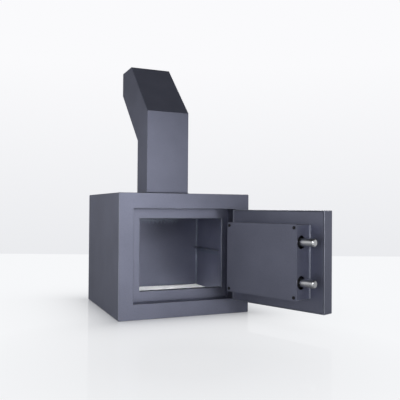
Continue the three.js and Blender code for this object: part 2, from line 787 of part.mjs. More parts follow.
function makeKnob() {
  const base = rod('y', knobRadius, [knobNear - knobBase, knobNear], [0, 0]);
  const halfGrip = knobGripWidth / 2;
  const gripX = grown([0, 0], knobRadius - knobGripInset);
  const gripOutline = rectangle(gripX, grown([0, 0], halfGrip), halfGrip - knobGripInset);
  const grip = extrude('xz', gripOutline, [knobFar, knobNear - knobBase / 2]);
  const bore = rod('y', spindleRadius + seatGap, [knobMid - seatGap, knobNear + overcut], [0, 0], smallSides);
  return cut(join(base, grip), bore);
}

function makeSpindle() {
  return rod('y', spindleRadius, [knobMid, spindleEnd], [0, 0], smallSides);
}

function makeCrank() {
  const side = -boltTravel / 2;
  const y = [crankNear, crankFar];
  const hub = rod('y', spindleRadius + crankRim, y, [0, 0]);
  const eye = rod('y', crankPinRadius + crankRim, y, [side, -crankRise]);
  const reach = Math.hypot(side, crankRise);
  const web = block([0, reach], y, grown([0, 0], crankWebHalf));
  web.rotateY(Math.atan2(crankRise, side));
  const pin = rod('y', crankPinRadius, [crankFar - joinDepth, barTop + crankPinProud], [side, -crankRise]);
  const bore = rod('y', spindleRadius + seatGap, grown(y, overcut), [0, 0], smallSides);
  return cut(join(hub, eye, web, pin), bore);
}

function makeClip() {
  const y = [crankFar + seatGap, crankFar + seatGap + clipThickness];
  const through = grown(y, overcut);
  const mouth = block([0, clipRadius + overcut], through, grown([0, 0], clipMouth / 2));
  return cut(rod('y', clipRadius, y, [0, 0]), rod('y', spindleRadius + seatGap, through, [0, 0]), mouth);
}

add(turning, 'turn_knob', makeKnob(), blackPlastic());
add(turning, 'knob_spindle', makeSpindle(), zincPlate());
add(turning, 'drive_crank', makeCrank(), zincPlate());
add(turning, 'spindle_clip', makeClip(), zincPlate());
add(shut, 'knob_rose', makeBush(roseRadius, [roseFace, -seatGap]), zincPlate());

// Key lock: its bolt rises into a notch of the tongue as the key hub's pin carries it up
function makeLockBody() {
  const middle = [spindleX, spindleX];
  const x = grown(middle, lockWidth / 2);
  const y = [caseRoot, caseRoot + lockDepth];
  const channelY = grown([lockBoltNear, lockBoltFar], runningGap);
  const tailZ = grown([lockTailMid, lockTailMid + lockBoltTravel], lockTailHeight / 2 + runningGap);
  const tailRoom = block(grown(middle, lockTailWidth / 2 + runningGap), channelY, tailZ);
  const headX = grown(middle, lockBoltWidth / 2 + runningGap);
  const headRoom = block(headX, channelY, [lockTailMid, lockTop + overcut]);
  const hubRoom = rod('y', keyHubRadius + runningGap, [caseRoot - overcut, lockBoltNear], keyAt, smallSides);
  return cut(block(x, y, [lockBottom, lockTop]), tailRoom, headRoom, hubRoom);
}

function makeLockBolt() {
  const y = [lockBoltNear, lockBoltFar];
  const tailMid = [lockTailMid, lockTailMid];
  const head = block(grown([0, 0], lockBoltWidth / 2), y, [lockTailMid, lockBoltHeadZ]);
  const tail = block(grown([0, 0], lockTailWidth / 2), y, grown(tailMid, lockTailHeight / 2));
  const slotX = grown([0, 0], lockPinOrbit + lockPinRadius + runningGap);
  const slot = block(slotX, grown(y, overcut), grown(tailMid, lockPinRadius + lockPinPlay));
  return cut(join(head, tail), slot);
}

function makeKeyHub() {
  const hubEnd = lockBoltNear - lockPinRadius;
  const drum = rod('y', keyHubRadius, [0, hubEnd], [0, 0], smallSides);
  const pin = rod('y', lockPinRadius, [hubEnd - joinDepth, lockBoltFar], [0, -lockPinOrbit], smallSides);
  const slotX = grown([0, 0], keySlotWidth / 2);
  const slot = block(slotX, [-overcut, keySlotDepth], grown([0, 0], keySlotHeight / 2));
  return cut(join(drum, pin), slot);
}

function makeEscutcheon() {
  const y = [-(seatGap + escutcheonThickness), -seatGap];
  const halfWidth = escutcheonWidth / 2;
  const plateX = grown([0, 0], halfWidth);
  const plate = rectangle(plateX, grown([0, 0], escutcheonHeight / 2), halfWidth - escutcheonFlat);
  const keyhole = rectangle(grown([0, 0], keyholeWidth / 2), grown([0, 0], keyholeHeight / 2));
  return extrude('xz', ring(plate, keyhole), y, plateSteps);
}

add(shut, 'lock_body', makeLockBody(), zincPlate());
add(shut, 'keyhole_escutcheon', makeEscutcheon(), zincPlate(), [spindleX, 0, keyZ]);
add(shut, 'lock_bolt', makeLockBolt(), brightSteel(), [spindleX, 0, 0]);
add(shut, 'key_hub', makeKeyHub(), brightSteel(), [spindleX, 0, keyZ]);

export default safe;
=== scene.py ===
import json
import math

import bmesh
import bpy
from mathutils import Matrix, Vector

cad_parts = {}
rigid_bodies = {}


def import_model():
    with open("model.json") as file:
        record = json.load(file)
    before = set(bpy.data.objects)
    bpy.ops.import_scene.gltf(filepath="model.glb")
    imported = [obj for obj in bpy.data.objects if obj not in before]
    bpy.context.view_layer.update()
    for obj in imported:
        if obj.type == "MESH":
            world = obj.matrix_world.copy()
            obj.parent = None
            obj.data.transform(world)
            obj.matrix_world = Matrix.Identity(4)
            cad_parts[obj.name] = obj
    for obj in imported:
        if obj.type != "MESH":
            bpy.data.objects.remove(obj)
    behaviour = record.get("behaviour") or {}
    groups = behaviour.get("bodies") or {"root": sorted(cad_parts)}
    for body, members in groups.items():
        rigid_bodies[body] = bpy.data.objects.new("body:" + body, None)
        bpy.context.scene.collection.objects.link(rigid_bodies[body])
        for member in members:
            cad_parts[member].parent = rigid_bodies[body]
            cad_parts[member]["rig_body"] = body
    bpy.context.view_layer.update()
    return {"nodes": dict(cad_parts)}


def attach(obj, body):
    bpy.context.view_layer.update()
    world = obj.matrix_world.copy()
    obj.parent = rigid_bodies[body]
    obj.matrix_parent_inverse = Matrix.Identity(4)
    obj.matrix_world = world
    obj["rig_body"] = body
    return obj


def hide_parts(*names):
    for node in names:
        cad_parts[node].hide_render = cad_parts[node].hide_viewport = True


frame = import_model()

bl_info = {
    "name": "Gooseneck Safe",
    "version": (1, 0, 0),
    "blender": (4, 5, 0),
    "location": "View3D > Sidebar > Safe",
    "description": "Dresses the gooseneck deposit safe: painted sheet, steel bolts, fittings and studio",
    "category": "Object",
}

MM = 0.001
# Corners nearer than this are one corner
SAME_PLACE = 0.01 * MM
# Faces that meet at less than the first angle lie in one plane, and over the second one the edge is sharp
FLAT_DEGREES = 0.5
SHARP_DEGREES = 40
# The facets of a fold are longer than the first number of radii and narrower than the second
FOLD_LENGTH_IN_RADII = 40
FOLD_WIDTH_IN_RADII = 4
# Where edges shorter than this many radii would hold back the rounding of all others, they stay sharp
SHORT_EDGE_IN_RADII = 4
# The normals of a round corner follow only its widest face
WIDEST_FACE_ONLY = 100
SENSOR_MILLIMETRES = 36.0


class PaintSettings(bpy.types.PropertyGroup):
    """Colours of the painted sheet metal, the rounding of its edges and the size of its welds."""

    outside_colour: bpy.props.StringProperty(
        name="Outside colour", description="Powder coat on the cabinet, door and chute, as sRGB hex",
        default="7D8092"
    )
    inside_colour: bpy.props.StringProperty(
        name="Inside colour", description="Powder coat inside the cabinet, as sRGB hex", default="7A8090"
    )
    # Painted highlight: a lighter coat colour on the folds and rounded edges, standing in for the light line
    # that they catch
    fold_highlight_colour: bpy.props.StringProperty(
        name="Fold colour", description="The same coat where it is drawn thin over a fold, as sRGB hex",
        default="9296A4"
    )
    outside_gloss: bpy.props.FloatProperty(
        name="Outside roughness", description="Roughness of the satin powder coat", default=0.42, min=0, max=1
    )
    inside_gloss: bpy.props.FloatProperty(
        name="Inside roughness", description="Roughness of the coat inside the cabinet", default=0.48, min=0,
        max=1
    )
    fold_gloss: bpy.props.FloatProperty(
        name="Fold roughness", description="Roughness of the coat on the folds", default=0.36, min=0, max=1
    )
    grain: bpy.props.FloatProperty(
        name="Powder grain", description="Spacing of the coat's orange peel", default=1.6 * MM, min=0,
        unit="LENGTH"
    )
    fold_radius: bpy.props.FloatProperty(
        name="Fold radius", description="Rounding of the edges of the frame, the jamb and the leaf",
        default=1.4 * MM, min=0, unit="LENGTH"
    )
    case_radius: bpy.props.FloatProperty(
        name="Case radius", description="Rounding of the lock case's edges", default=0.95 * MM, min=0,
        unit="LENGTH"
    )
    cut_radius: bpy.props.FloatProperty(
        name="Cut edge radius", description="Rounding that the coat gives a cut edge", default=0.5 * MM,
        min=0, unit="LENGTH"
    )
    sheet: bpy.props.FloatProperty(
        name="Sheet", description="Thickness of the folded sheets", default=3 * MM, min=0, unit="LENGTH"
    )
    weld_leg: bpy.props.FloatProperty(
        name="Weld leg", description="Leg of the fillet welds in the back corners", default=4 * MM, min=0,
        unit="LENGTH"
    )
    ripple: bpy.props.FloatProperty(
        name="Weld ripple", description="Spacing of the ripples in a weld", default=2.5 * MM, min=0,
        unit="LENGTH"
    )
    stitch: bpy.props.FloatProperty(
        name="Stitch length", description="Length of each short weld on the ledges", default=26 * MM, min=0,
        unit="LENGTH"
    )


class FittingSettings(bpy.types.PropertyGroup):
    """Colours and edge rounding of the bare metal, plastic and sheet parts."""

    bolt_colour: bpy.props.StringProperty(
        name="Bolt colour", description="Ground steel of the locking bolts, as sRGB hex", default="E6E8EB"
    )
    zinc_colour: bpy.props.StringProperty(
        name="Zinc colour", description="Zinc plate on screws, nuts and the lock, as sRGB hex",
        default="A9ACAE"
    )
    oxide_colour: bpy.props.StringProperty(
        name="Black oxide colour", description="Blackened screws and bolt guide, as sRGB hex",
        default="3A3C42"
    )
    plastic_colour: bpy.props.StringProperty(
        name="Plastic colour", description="Moulded plastic of the knob and plugs, as sRGB hex",
        default="1B1C1F"
    )
    liner_colour: bpy.props.StringProperty(
        name="Liner colour", description="Pale sheet on the cabinet floor, as sRGB hex", default="F1F2F4"
    )
    bolt_radius: bpy.props.FloatProperty(
        name="Bolt radius", description="Rounding of the locking bolts' edges", default=0.4 * MM, min=0,
        unit="LENGTH"
    )
    pin_radius: bpy.props.FloatProperty(
        name="Pin radius", description="Rounding of the hinge pins' edges", default=0.6 * MM, min=0,
        unit="LENGTH"
    )
    screw_radius: bpy.props.FloatProperty(
        name="Screw radius", description="Rounding of the case screws' edges", default=0.3 * MM, min=0,
        unit="LENGTH"
    )
    plate_radius: bpy.props.FloatProperty(
        name="Plate radius", description="Rounding of the knob's rose and the keyhole's plate",
        default=0.6 * MM, min=0, unit="LENGTH"
    )
    knob_radius: bpy.props.FloatProperty(
        name="Knob radius", description="Rounding of the turning knob's edges", default=1.2 * MM, min=0,
        unit="LENGTH"
    )


class StageSettings(bpy.types.PropertyGroup):
    """Floor, backdrop, lamps and camera."""

    floor_colour: bpy.props.StringProperty(
        name="Floor colour", description="Glossy white table top under the safe, as sRGB hex",
        default="F8F9FB"
    )
    backdrop_colour: bpy.props.StringProperty(
        name="Backdrop colour", description="Low part of the white backdrop, as sRGB hex", default="EAEBEE"
    )
    high_backdrop_colour: bpy.props.StringProperty(
        name="High backdrop colour", description="High part of the white backdrop, as sRGB hex",
        default="FAFAFC"
    )
    cove_colour: bpy.props.StringProperty(
        name="Cove colour", description="The backdrop as the safe and the table mirror it, as sRGB hex",
        default="F4F5F7"
    )
    ambient_colour: bpy.props.StringProperty(
        name="Ambient colour", description="The even light from all round, as sRGB hex", default="F2F4FA"
    )
    ambient: bpy.props.FloatProperty(
        name="Ambient", description="Strength of the even light from all round", default=0.2, min=0
    )
    floor_glow: bpy.props.FloatProperty(
        name="Floor glow", description="How far the table reads as plain white where it mirrors the safe",
        default=0.72, min=0, max=1
    )
    floor_mirrored: bpy.props.FloatProperty(
        name="Floor in reflections", description="How bright the table is in reflections on the safe",
        default=0.4, min=0, max=1
    )
    mirrored_spot: bpy.props.FloatVectorProperty(
        name="Mirrored spot", description="Middle of the safe's mirror image in the table",
        default=(-0.15, -0.6, 0.0), subtype="XYZ_LENGTH", size=3
    )
    contact_shade: bpy.props.FloatProperty(
        name="Contact shade", description="How dark the table turns at the safe's foot", default=0.8, min=0,
        max=1
    )
    contact_reach: bpy.props.FloatProperty(
        name="Contact reach", description="Distance over which the shade at the foot fades", default=0.09,
        min=0, unit="LENGTH"
    )
    floor_end: bpy.props.FloatProperty(
        name="Table end", description="Distance from the camera to the table's far edge", default=3.5, min=0,
        unit="LENGTH"
    )
    floor_size: bpy.props.FloatProperty(
        name="Table size", description="Half the side of the table top", default=4.0, min=0, unit="LENGTH"
    )
    key_power: bpy.props.FloatProperty(
        name="Key lamp", description="Power of the low softbox on the right in front", default=6.4, min=0,
        unit="POWER"
    )
    high_power: bpy.props.FloatProperty(
        name="High lamp", description="Power of the softbox above the key lamp", default=6.3, min=0,
        unit="POWER"
    )
    front_left_power: bpy.props.FloatProperty(
        name="Front left lamp", description="Power of the softbox beside the camera", default=5, min=0,
        unit="POWER"
    )
    side_power: bpy.props.FloatProperty(
        name="Side lamp", description="Power of the tall white wall on the left", default=7, min=0,
        unit="POWER"
    )
    rear_power: bpy.props.FloatProperty(
        name="Rear lamp", description="Power of the softbox behind on the left", default=6.4, min=0,
        unit="POWER"
    )
    right_power: bpy.props.FloatProperty(
        name="Right lamp", description="Power of the softbox on the right", default=3.8, min=0, unit="POWER"
    )
    back_power: bpy.props.FloatProperty(
        name="Back lamp", description="Power of the softbox behind on the right", default=34, min=0,
        unit="POWER"
    )
    top_power: bpy.props.FloatProperty(
        name="Top lamp", description="Power of the wide lamp overhead, which draws the shadows", default=23,
        min=0, unit="POWER"
    )
    edge_power: bpy.props.FloatProperty(
        name="Edge lamp", description="Power of the softbox whose mirror image lines the folded edges",
        default=3, min=0, unit="POWER"
    )
    comb_power: bpy.props.FloatProperty(
        name="Comb lamp", description="Power of the strip lamp below the comb's teeth", default=0.012, min=0,
        unit="POWER"
    )
    corner_power: bpy.props.FloatProperty(
        name="Corner lamp", description="Power of the strip lamp that the weld in the back corner mirrors",
        default=0.14, min=0, unit="POWER"
    )
    inside_power: bpy.props.FloatProperty(
        name="Inside lamp", description="Power of the strip lamp behind the top of the door opening",
        default=0.14, min=0, unit="POWER"
    )
    liner_power: bpy.props.FloatProperty(
        name="Liner lamp", description="Power of the low lamp over the pale sheet inside", default=0.0155,
        min=0, unit="POWER"
    )
    camera_place: bpy.props.FloatVectorProperty(
        name="Camera place", description="Where the photograph was taken from",
        default=(-0.5605, -1.5967, 0.2989), subtype="XYZ_LENGTH", size=3
    )
    camera_yaw: bpy.props.FloatProperty(
        name="Camera yaw", description="Turn of the camera to the right", default=math.radians(23.08),
        unit="ROTATION"
    )
    camera_pitch: bpy.props.FloatProperty(
        name="Camera pitch", description="Tilt of the camera upwards", default=math.radians(0.88),
        unit="ROTATION"
    )
    camera_roll: bpy.props.FloatProperty(
        name="Camera roll", description="Roll of the camera", default=math.radians(0.42), unit="ROTATION"
    )
    focal_length: bpy.props.FloatProperty(
        name="Focal length", description="Lens on a 36 mm sensor, in millimetres", default=49.2, min=1
    )


def linear(hex_colour):
    """An sRGB hex colour as linear red, green, blue and full alpha."""
    channels = [int(hex_colour[at : at + 2], 16) / 255 for at in (0, 2, 4)]
    return (*[c / 12.92 if c <= 0.04045 else ((c + 0.055) / 1.055) ** 2.4 for c in channels], 1.0)


def scaled(colour, *factors, lift=0.0):
    """A linear colour with red, green and blue times one factor, or times three, and lifted by a step."""
    by_channel = factors * 3 if len(factors) == 1 else factors
    return (*[min(1.0, factor * channel + lift) for factor, channel in zip(by_channel, colour)], 1.0)


def add_node(tree, kind, links=(), **settings):
    """Adds a node, sets its properties, then gives its inputs a link or a value."""
    made = tree.nodes.new(kind)
    for name, value in settings.items():
        setattr(made, name, value)
    for socket, source in dict(links).items():
        if isinstance(source, bpy.types.NodeSocket):
            tree.links.new(source, made.inputs[socket])
        else:
            made.inputs[socket].default_value = source
    return made


def calculate(tree, operation, *values):
    """The result of a Math node."""
    return add_node(tree, "ShaderNodeMath", dict(enumerate(values)), operation=operation).outputs["Value"]


def vector_step(tree, operation, *values):
    """The outputs of a Vector Math node."""
    return add_node(tree, "ShaderNodeVectorMath", dict(enumerate(values)), operation=operation).outputs


def ramp(tree, value, start=0.0, end=1.0, low=0.0, high=1.0):
    """A value taken from the range start to end into the range low to high, and held beyond its ends."""
    ends = {"Value": value, "From Min": start, "From Max": end, "To Min": low, "To Max": high}
    return add_node(tree, "ShaderNodeMapRange", ends).outputs["Result"]


def blend(tree, share, first, second, **settings):
    """Two colours mixed, with a share of the second from 0 to 1."""
    colours = {0: share, 6: first, 7: second}
    return add_node(tree, "ShaderNodeMix", colours, data_type="RGBA", **settings).outputs[2]


def mix_shaders(tree, share, first, second):
    """Two shaders mixed, with a share of the second from 0 to 1."""
    return add_node(tree, "ShaderNodeMixShader", {0: share, 1: first, 2: second}).outputs["Shader"]


def noise(tree, place, size, detail, roughness=0.5):
    """Soft random spots of about that size, as a value from 0 to 1."""
    settings = {"Vector": place, "Scale": 1 / size, "Detail": detail, "Roughness": roughness}
    return add_node(tree, "ShaderNodeTexNoise", settings).outputs["Fac"]


def new_material(name):
    """An empty node material and its object coordinates."""
    material = bpy.data.materials.new(name)
    material.use_nodes = True
    tree = material.node_tree
    tree.nodes.clear()
    place = add_node(tree, "ShaderNodeTexCoord").outputs["Object"]
    return material, tree, place


def close_material(material, tree, colour, pattern, smoothest, roughest, bump, depth, **fixed):
    """Joins a colour to the surface shader. Its roughness and its fine relief follow a pattern."""
    relief = add_node(tree, "ShaderNodeBump", {"Height": pattern, "Strength": bump, "Distance": depth})
    gloss = ramp(tree, pattern, low=smoothest, high=roughest)
    links = {"Base Color": colour, "Roughness": gloss, "Normal": relief.outputs["Normal"], **fixed}
    shader = add_node(tree, "ShaderNodeBsdfPrincipled", links)
    add_node(tree, "ShaderNodeOutputMaterial", {"Surface": shader.outputs["BSDF"]})
    return material


def powder_coat(name, hex_colour, roughness, grain):
    """Satin powder coat on steel: baked polymer with a fine orange peel that breaks up highlights."""
    cloud_size = 90 * MM
    # Metallic flake in the coat, drawn at 2.4 mm because real flake is too fine for the render
    flake_size = 2.4 * MM
    material, tree, place = new_material(name)
    peel = noise(tree, place, grain, detail=3.0, roughness=0.6)
    cloud = noise(tree, place, cloud_size, detail=2.0)
    flake = add_node(tree, "ShaderNodeTexVoronoi", {"Vector": place, "Scale": 1 / flake_size})
    base = linear(hex_colour)
    shade = blend(tree, cloud, scaled(base, 0.86), scaled(base, 1.16))
    fleck = ramp(tree, flake.outputs["Distance"], low=1.06, high=0.93)
    flaked = blend(tree, 1.0, shade, fleck, blend_type="MULTIPLY")
    return close_material(
        material, tree, flaked, peel, smoothest=roughness - 0.04, roughest=roughness + 0.05, bump=0.22,
        depth=0.12 * MM, Metallic=0.75, IOR=1.5
    )


def ground_steel(name, hex_colour):
    """Centreless ground steel bar: bright, with scratches round the level bolts that spread the highlight."""
    # Scratches to the metre: close together across, and drawn out upwards
    across, upward = 900.0, 60.0
    # Keeps the pattern's grid out of line with the axes
    turn = 0.37
    film_size = 14 * MM
    material, tree, place = new_material(name)
    squashed = add_node(
        tree, "ShaderNodeMapping",
        {"Vector": place, "Scale": (across, across, upward), "Rotation": (0.0, 0.0, turn)}
    )
    scratches = noise(tree, squashed.outputs["Vector"], size=1.0, detail=4.0)
    film = noise(tree, place, film_size, detail=3.0)
    base = linear(hex_colour)
    shade = blend(tree, film, scaled(base, 0.85), base)
    return close_material(
        material, tree, shade, scratches, smoothest=0.26, roughest=0.4, bump=0.15, depth=0.05 * MM,
        Metallic=1.0
    )


def zinc_plate(name, hex_colour):
    """Bright zinc plate with a clear passivation: slightly milky metal with a faint warm bloom."""
    bloom_size = 6 * MM
    material, tree, place = new_material(name)
    bloom = noise(tree, place, bloom_size, detail=4.0)
    base = linear(hex_colour)
    shade = blend(tree, bloom, scaled(base, 0.92, 0.88, 0.76), base)
    return close_material(
        material, tree, shade, bloom, smoothest=0.32, roughest=0.5, bump=0.1, depth=0.05 * MM, Metallic=1.0
    )


def black_oxide(name, hex_colour):
    """Hot blackened steel: a thin dark oxide over metal, with brown blooms where the oil has dried."""
    bloom_size = 5 * MM
    material, tree, place = new_material(name)
    bloom = noise(tree, place, bloom_size, detail=4.0)
    base = linear(hex_colour)
    shade = blend(tree, bloom, base, scaled(base, 1.5, 1.3, 1.1))
    return close_material(
        material, tree, shade, bloom, smoothest=0.3, roughest=0.5, bump=0.1, depth=0.05 * MM, Metallic=1.0
    )


def moulded_plastic(name, hex_colour, roughness, grain):
    """Injection moulded plastic: a soft sheen from the spark-eroded grain of its tool."""
    material, tree, place = new_material(name)
    spark = noise(tree, place, grain, detail=2.0)
    base = linear(hex_colour)
    shade = blend(tree, spark, base, scaled(base, 1.25, lift=0.002))
    return close_material(
        material, tree, shade, spark, smoothest=roughness - 0.05, roughest=roughness + 0.08, bump=0.25,
        depth=0.1 * MM, IOR=1.49
    )


def finish_for(kind):
    """The material of that kind, made on first use."""
    if kind in bpy.data.materials:
        return bpy.data.materials[kind]
    paint = bpy.context.scene.safe_paint
    fittings = bpy.context.scene.safe_fittings
    if kind == "powder_coat_outside":
        return powder_coat(kind, paint.outside_colour, paint.outside_gloss, paint.grain)
    if kind == "powder_coat_fold_highlight":
        # Painted highlight: the folds and rounded edges take a lighter coat colour, drawn as the light line
        # that they catch
        return powder_coat(kind, paint.fold_highlight_colour, paint.fold_gloss, paint.grain)
    if kind == "powder_coat_inside":
        return powder_coat(kind, paint.inside_colour, paint.inside_gloss, paint.grain)
    if kind == "ground_steel_bar":
        return ground_steel(kind, fittings.bolt_colour)
    if kind == "bright_zinc_plate":
        return zinc_plate(kind, fittings.zinc_colour)
    if kind == "black_oxide_steel":
        return black_oxide(kind, fittings.oxide_colour)
    if kind == "black_abs":
        return moulded_plastic(kind, fittings.plastic_colour, roughness=0.45, grain=0.8 * MM)
    if kind == "pale_polypropylene":
        return moulded_plastic(kind, fittings.liner_colour, roughness=0.6, grain=1.5 * MM)
    raise ValueError(f"there is no finish named {kind}")


def corners(name):
    """The low and high corners of a CAD node, in metres."""
    piece = frame["nodes"][name]
    places = [piece.matrix_world @ vertex.co for vertex in piece.data.vertices]
    return (Vector([min(place[axis] for place in places) for axis in range(3)]),
            Vector([max(place[axis] for place in places) for axis in range(3)]))


def dress(kind, *names):
    """Gives CAD nodes their material."""
    for name in names:
        piece = frame["nodes"][name]
        piece.data.materials.clear()
        piece.data.materials.append(finish_for(kind))


def finished(name, form, kind, body):
    """Turns a form into a piece in that finish that rides on that body."""
    bmesh.ops.triangulate(form, faces=form.faces)
    mesh = bpy.data.meshes.new(name)
    form.to_mesh(mesh)
    form.free()
    mesh.materials.append(finish_for(kind))
    mesh.set_sharp_from_angle(angle=math.radians(SHARP_DEGREES))
    piece = bpy.data.objects.new(name, mesh)
    bpy.context.scene.collection.objects.link(piece)
    # Round faces take their normals from the widest neighbour, so only the rounded edges shade as curved
    even = piece.modifiers.new("even_normals", "WEIGHTED_NORMAL")
    even.weight = WIDEST_FACE_ONLY
    even.keep_sharp = True
    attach(piece, body)
    return piece


def round_edges(form, edges, radius, segments=3, clamp=True):
    """Rounds edges of a form and returns the new faces."""
    made = bmesh.ops.bevel(
        form, geom=edges, offset=radius, offset_type="OFFSET", segments=segments, profile=0.5,
        affect="EDGES", clamp_overlap=clamp, material=-1
    )
    return made["faces"]


def softened(name, kind, radius, folded=False, all_edges=True, clamp=True):
    """Stands in for a CAD node with a merged copy whose sharp edges are rounded.

    On folded sheet the rounded edges and the folds take a lighter coat colour, a painted highlight for the
    light they catch. Without all_edges the short edges stay sharp, and without clamp the roundings may meet.
    """
    source = frame["nodes"][name]
    form = bmesh.new()
    form.from_mesh(source.data)
    bmesh.ops.remove_doubles(form, verts=form.verts, dist=SAME_PLACE)
    bmesh.ops.dissolve_limit(form, angle_limit=math.radians(FLAT_DEGREES), verts=form.verts, edges=form.edges)
    for face in form.faces:
        # A face that meets a neighbour at a slight angle is a facet of a round form, any other one is flat
        turns = [math.degrees(edge.calc_face_angle(0)) for edge in face.edges]
        face.smooth = any(FLAT_DEGREES < turn < SHARP_DEGREES for turn in turns)
        # Long narrow facets are the folds that the sheet already has
        longest = max(edge.calc_length() for edge in face.edges)
        long = longest > FOLD_LENGTH_IN_RADII * radius
        narrow = face.calc_area() < FOLD_WIDTH_IN_RADII * radius * longest
        # Painted highlight: on folded sheet these fold facets take the lighter second material
        face.material_index = 1 if folded and face.smooth and long and narrow else 0
    shortest = 0.0 if all_edges else SHORT_EDGE_IN_RADII * radius
    sharp = [
        edge for edge in form.edges
        if math.degrees(edge.calc_face_angle(0)) > SHARP_DEGREES and edge.calc_length() > shortest
    ]
    for face in round_edges(form, sharp, radius, clamp=clamp):
        face.smooth = True
        # On folded sheet the new rounded faces take the painted highlight colour too
        face.material_index = 1 if folded else 0
    piece = finished(f"{name}_rounded", form, kind, source["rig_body"])
    # The second material is the lighter coat that paints the highlight on the folds
    if folded:
        piece.data.materials.append(finish_for("powder_coat_fold_highlight"))
    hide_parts(name)


def weld_bead(form, start, end, wall, shelf, leg, ripple):
    """Adds a fillet weld from start to end in the corner where two faces lead off along wall and shelf."""
    steps_per_ripple = 4
    # The bead swells from the first share of its leg by the second, and is hollowed by the third
    lowest_swell = 0.82
    swell_rise = 0.18
    hollow = 0.22
    # How far its root lies in the sheets
    sunk = 0.2 * MM
    start, end, wall, shelf = Vector(start), Vector(end), Vector(wall), Vector(shelf)
    steps = max(steps_per_ripple, round((end - start).length / ripple) * steps_per_ripple)
    rings = []
    for at in range(steps + 1):
        # Each ripple swells and then falls off, as the weld pool froze
        swell = lowest_swell + swell_rise * (at % steps_per_ripple) / (steps_per_ripple - 1)
        middle = start.lerp(end, at / steps)
        ring = [middle - (wall + shelf) * sunk]
        for turn in (0.0, 0.25, 0.5, 0.75, 1.0):
            angle = turn * math.pi / 2
            bulge = leg * (1.0 - hollow * math.sin(2 * angle)) * (swell if 0 < turn < 1 else 1.0)
            ring.append(middle + wall * math.cos(angle) * bulge + shelf * math.sin(angle) * bulge)
        rings.append([form.verts.new(place) for place in ring])
    count = len(rings[0])
    for near, far in zip(rings, rings[1:]):
        for at in range(count):
            form.faces.new((near[at], near[(at + 1) % count], far[(at + 1) % count], far[at]))
    form.faces.new(rings[0])
    form.faces.new(reversed(rings[-1]))
    for face in form.faces:
        face.smooth = True


class SAFE_OT_cabinet(bpy.types.Operator):
    """Rounds and paints the cabinet's folded sheets."""

    bl_idname = "safe.cabinet"
    bl_label = "Cabinet"

    def execute(self, context):
        paint = context.scene.safe_paint
        softened("front_frame", "powder_coat_outside", paint.fold_radius, folded=True)
        self.return_strip(paint)
        softened("door_jamb", "powder_coat_outside", paint.fold_radius, folded=True)
        softened("body_wrap", "powder_coat_outside", paint.cut_radius)
        dress("powder_coat_outside", "back_plate")
        return {"FINISHED"}

    def return_strip(self, paint):
        """Closes the slit between the front frame's right return and the back of the gutter."""
        return_end = corners("front_frame")[1].y
        jamb_low, jamb_high = corners("door_jamb")
        low = Vector((jamb_high.x - paint.sheet, return_end, jamb_low.z))
        high = Vector((jamb_high.x, jamb_high.y - paint.sheet, jamb_high.z))
        form = bmesh.new()
        bmesh.ops.create_cube(form, size=1.0)
        bmesh.ops.scale(form, vec=high - low, verts=form.verts)
        bmesh.ops.translate(form, vec=(low + high) / 2, verts=form.verts)
        round_edges(form, form.edges[:], paint.cut_radius, segments=2)
        for face in form.faces:
            face.smooth = True
        finished("return_strip", form, "powder_coat_outside", "cabinet")


class SAFE_OT_welds(bpy.types.Operator):
    """Lays the fillet welds in the cabinet's back corners, on the ledges and round the chute's foot."""

    bl_idname = "safe.welds"
    bl_label = "Welds"

    def execute(self, context):
        paint = context.scene.safe_paint
        self.back_corners(paint)
        self.ledge_stitches(paint)
        self.chute_foot(paint)
        return {"FINISHED"}

    def close(self, name, form, kind, slot):
        """Finishes a run of beads in the finish of the sheet it joins. The slot argument is not used."""
        bmesh.ops.recalc_face_normals(form, faces=form.faces)
        piece = finished(name, form, kind, "cabinet")

    def back_corners(self, paint):
        """Beads up both back corners and along the roof, where the back plate meets the wrap."""
        low, high = corners("back_plate")
        foot = corners("floor_tray")[1].z
        head, back = high.z, low.y
        runs = (
            ((low.x, back, foot), (low.x, back, head), (1.0, 0, 0)),
            ((high.x, back, foot), (high.x, back, head), (-1.0, 0, 0)),
            ((low.x, back, head), (high.x, back, head), (0, 0, -1)),
        )
        form = bmesh.new()
        for start, end, wall in runs:
            weld_bead(form, start, end, wall, (0, -1, 0), paint.weld_leg, paint.ripple)
        self.close("back_corner_welds", form, "powder_coat_inside", "inside_paint")

    def ledge_stitches(self, paint):
        """Three short beads on top of each ledge, against the side wall."""
        leg = paint.weld_leg * 0.7
        form = bmesh.new()
        for name, inward in (("shelf_ledge_left", 1.0), ("shelf_ledge_right", -1.0)):
            low, high = corners(name)
            wall = low.x if inward > 0 else high.x
            for share in (0.15, 0.5, 0.85):
                middle = low.y + share * (high.y - low.y)
                start = (wall, middle - paint.stitch / 2, high.z)
                end = (wall, middle + paint.stitch / 2, high.z)
                weld_bead(form, start, end, (0, 0, 1), (inward, 0, 0), leg, paint.ripple)
        self.close("ledge_stitch_welds", form, "powder_coat_inside", "inside_paint")

    def chute_foot(self, paint):
        """One bead round the foot of the duct, on its flange."""
        leg = paint.weld_leg * 0.8
        low, high = corners("chute_front_sheet")
        deck = corners("chute_flange")[1].z
        left, right, front, back = low.x, high.x, low.y, corners("chute_back_sheet")[0].y + paint.sheet
        sides = (
            ((left, front), (right, front), (0, -1, 0)),
            ((right, front), (right, back), (1, 0, 0)),
            ((right, back), (left, back), (0, 1, 0)),
            ((left, back), (left, front), (-1, 0, 0)),
        )
        form = bmesh.new()
        for start, end, outward in sides:
            weld_bead(form, (*start, deck), (*end, deck), (0, 0, 1), outward, leg, paint.ripple)
        self.close("chute_foot_weld", form, "powder_coat_outside", "cabinet_paint")


